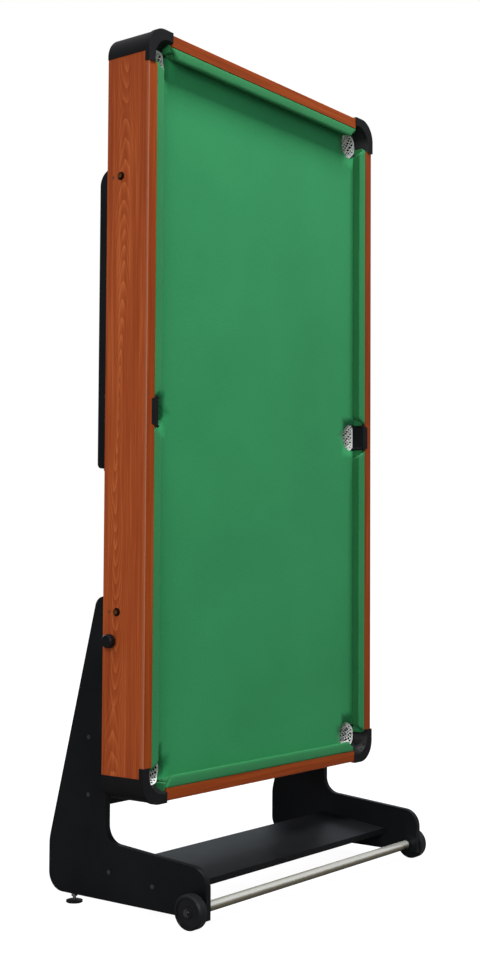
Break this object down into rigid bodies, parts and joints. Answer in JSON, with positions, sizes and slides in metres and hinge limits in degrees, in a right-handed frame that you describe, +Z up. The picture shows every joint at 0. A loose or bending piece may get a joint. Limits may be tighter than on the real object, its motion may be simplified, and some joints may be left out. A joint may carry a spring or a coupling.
{
  "type": "folding pool table",
  "caption": "Folding pocket pool table that tilts up on a wheeled black stand for storage, with a fold-out end leg and net pockets.",
  "frame": {"origin": "on the floor, at the middle of the bounding box's base, with the table stored upright", "axes": "+Z up, +Y toward the back, with the playing cloth facing -Y; +X to the right as seen from the front"},
  "size_m": [1.0284, 0.5, 2.094],
  "materials": {
    "raw_board": "bare fibreboard",
    "bed_cloth": "napped green playing cloth",
    "cushion_cloth": "green cloth over rubber",
    "apron_laminate": "cherry wood-grain laminate, satin",
    "strip_laminate": "cherry laminate, satin",
    "cap_plastic": "moulded, matte charcoal",
    "net_cord": "knotted white string",
    "zinc_steel": "zinc plated",
    "dark_steel": "blackened",
    "black_laminate": "black laminated board, satin",
    "black_rubber": "matte",
    "nickel_tube": "satin nickel plating",
    "wheel_plastic": "moulded, slight sheen"
  },
  "bodies": {
    "stand": {"stand_side_left": "black_laminate", "stand_side_right": "black_laminate", "stand_cross_board": "black_laminate", "shelf_board": "black_laminate", "stretcher_tube": "nickel_tube", "tube_ferrules": "cap_plastic", "stand_screws": "zinc_steel", "stop_pads": "black_rubber", "foot_inserts": "zinc_steel", "wheel_bolts": "zinc_steel"},
    "table": {"bed_board": "raw_board", "bed_cloth": "bed_cloth", "side_apron_left": "apron_laminate", "side_apron_right": "apron_laminate", "end_apron_lower": "apron_laminate", "end_apron_upper": "apron_laminate", "rail_strips_side": "strip_laminate", "rail_strips_end": "strip_laminate", "cushion_left_lower": "cushion_cloth", "cushion_left_upper": "cushion_cloth", "cushion_right_lower": "cushion_cloth", "cushion_right_upper": "cushion_cloth", "cushion_lower": "cushion_cloth", "cushion_upper": "cushion_cloth", "cushion_liners": "raw_board", "corner_cap_lower_left": "cap_plastic", "corner_cap_lower_right": "cap_plastic", "corner_cap_upper_left": "cap_plastic", "corner_cap_upper_right": "cap_plastic", "side_pocket_left": "cap_plastic", "side_pocket_right": "cap_plastic", "net_lower_left": "net_cord", "net_lower_right": "net_cord", "net_side_left": "net_cord", "net_side_right": "net_cord", "net_upper_left": "net_cord", "net_upper_right": "net_cord", "corner_blocks": "raw_board", "bed_braces": "raw_board", "leg_stops": "raw_board", "pivot_plates": "zinc_steel", "plate_screws": "zinc_steel", "pivot_bolts": "dark_steel", "pivot_nuts": "zinc_steel", "lock_inserts": "zinc_steel"},
    "end_leg": {"leg_plank_left": "black_laminate", "leg_plank_right": "black_laminate", "leg_cross_board": "black_laminate", "leg_glides": "black_rubber", "leg_screws": "zinc_steel"},
    "wheel_left": {"wheel_left": "wheel_plastic"},
    "foot_pad_left": {"foot_pad_left": "cap_plastic"},
    "foot_stem_left": {"foot_stem_left": "zinc_steel"},
    "lock_stud_left": {"lock_stud_left": "zinc_steel"},
    "lock_knob_left": {"lock_knob_left": "cap_plastic"},
    "wheel_right": {"wheel_right": "wheel_plastic"},
    "foot_pad_right": {"foot_pad_right": "cap_plastic"},
    "foot_stem_right": {"foot_stem_right": "zinc_steel"},
    "lock_stud_right": {"lock_stud_right": "zinc_steel"},
    "lock_knob_right": {"lock_knob_right": "cap_plastic"}
  },
  "joints": [
    {"name": "table_tilt", "type": "hinge", "parent": "stand", "child": "table", "pos_m": [0, 0.017, 0.703], "axis": [-1, 0, 0], "range_deg": [0, 90]},
    {"name": "end_leg_fold", "type": "hinge", "parent": "table", "child": "end_leg", "pos_m": [0, 0.017, 1.742], "axis": [1, 0, 0], "range_deg": [0, 90]},
    {"name": "wheel_spin_left", "type": "hinge", "parent": "stand", "child": "wheel_left", "pos_m": [-0.4846, -0.21, 0.04], "axis": [1, 0, 0], "continuous": true},
    {"name": "wheel_spin_right", "type": "hinge", "parent": "stand", "child": "wheel_right", "pos_m": [0.4846, -0.21, 0.04], "axis": [1, 0, 0], "continuous": true},
    {"name": "foot_travel_left", "type": "slide", "parent": "stand", "child": "foot_pad_left", "axis": [0, 0, -1], "range_m": [0, 0.012]},
    {"name": "foot_turn_left", "type": "hinge", "parent": "foot_pad_left", "child": "foot_stem_left", "pos_m": [-0.4625, 0.171, 0.012], "axis": [0, 0, -1], "range_deg": [0, 3450]},
    {"name": "foot_travel_right", "type": "slide", "parent": "stand", "child": "foot_pad_right", "axis": [0, 0, -1], "range_m": [0, 0.012]},
    {"name": "foot_turn_right", "type": "hinge", "parent": "foot_pad_right", "child": "foot_stem_right", "pos_m": [0.4625, 0.171, 0.012], "axis": [0, 0, -1], "range_deg": [0, 3450]},
    {"name": "lock_travel_left", "type": "slide", "parent": "table", "child": "lock_stud_left", "axis": [-1, 0, 0], "range_m": [0, 0.01]},
    {"name": "lock_turn_left", "type": "hinge", "parent": "lock_stud_left", "child": "lock_knob_left", "pos_m": [-0.5, 0.0296, 0.635], "axis": [-1, 0, 0], "range_deg": [0, 2870]},
    {"name": "lock_travel_right", "type": "slide", "parent": "table", "child": "lock_stud_right", "axis": [1, 0, 0], "range_m": [0, 0.01]},
    {"name": "lock_turn_right", "type": "hinge", "parent": "lock_stud_right", "child": "lock_knob_right", "pos_m": [0.5, 0.0296, 0.635], "axis": [1, 0, 0], "range_deg": [0, 2870]}
  ],
  "couplings": [
    {"joint": "foot_travel_left", "follows": "foot_turn_left", "m_per_rad": 0.00019894},
    {"joint": "lock_travel_left", "follows": "lock_turn_left", "m_per_rad": 0.00019894},
    {"joint": "foot_travel_right", "follows": "foot_turn_right", "m_per_rad": 0.00019894},
    {"joint": "lock_travel_right", "follows": "lock_turn_right", "m_per_rad": 0.00019894}
  ]
}
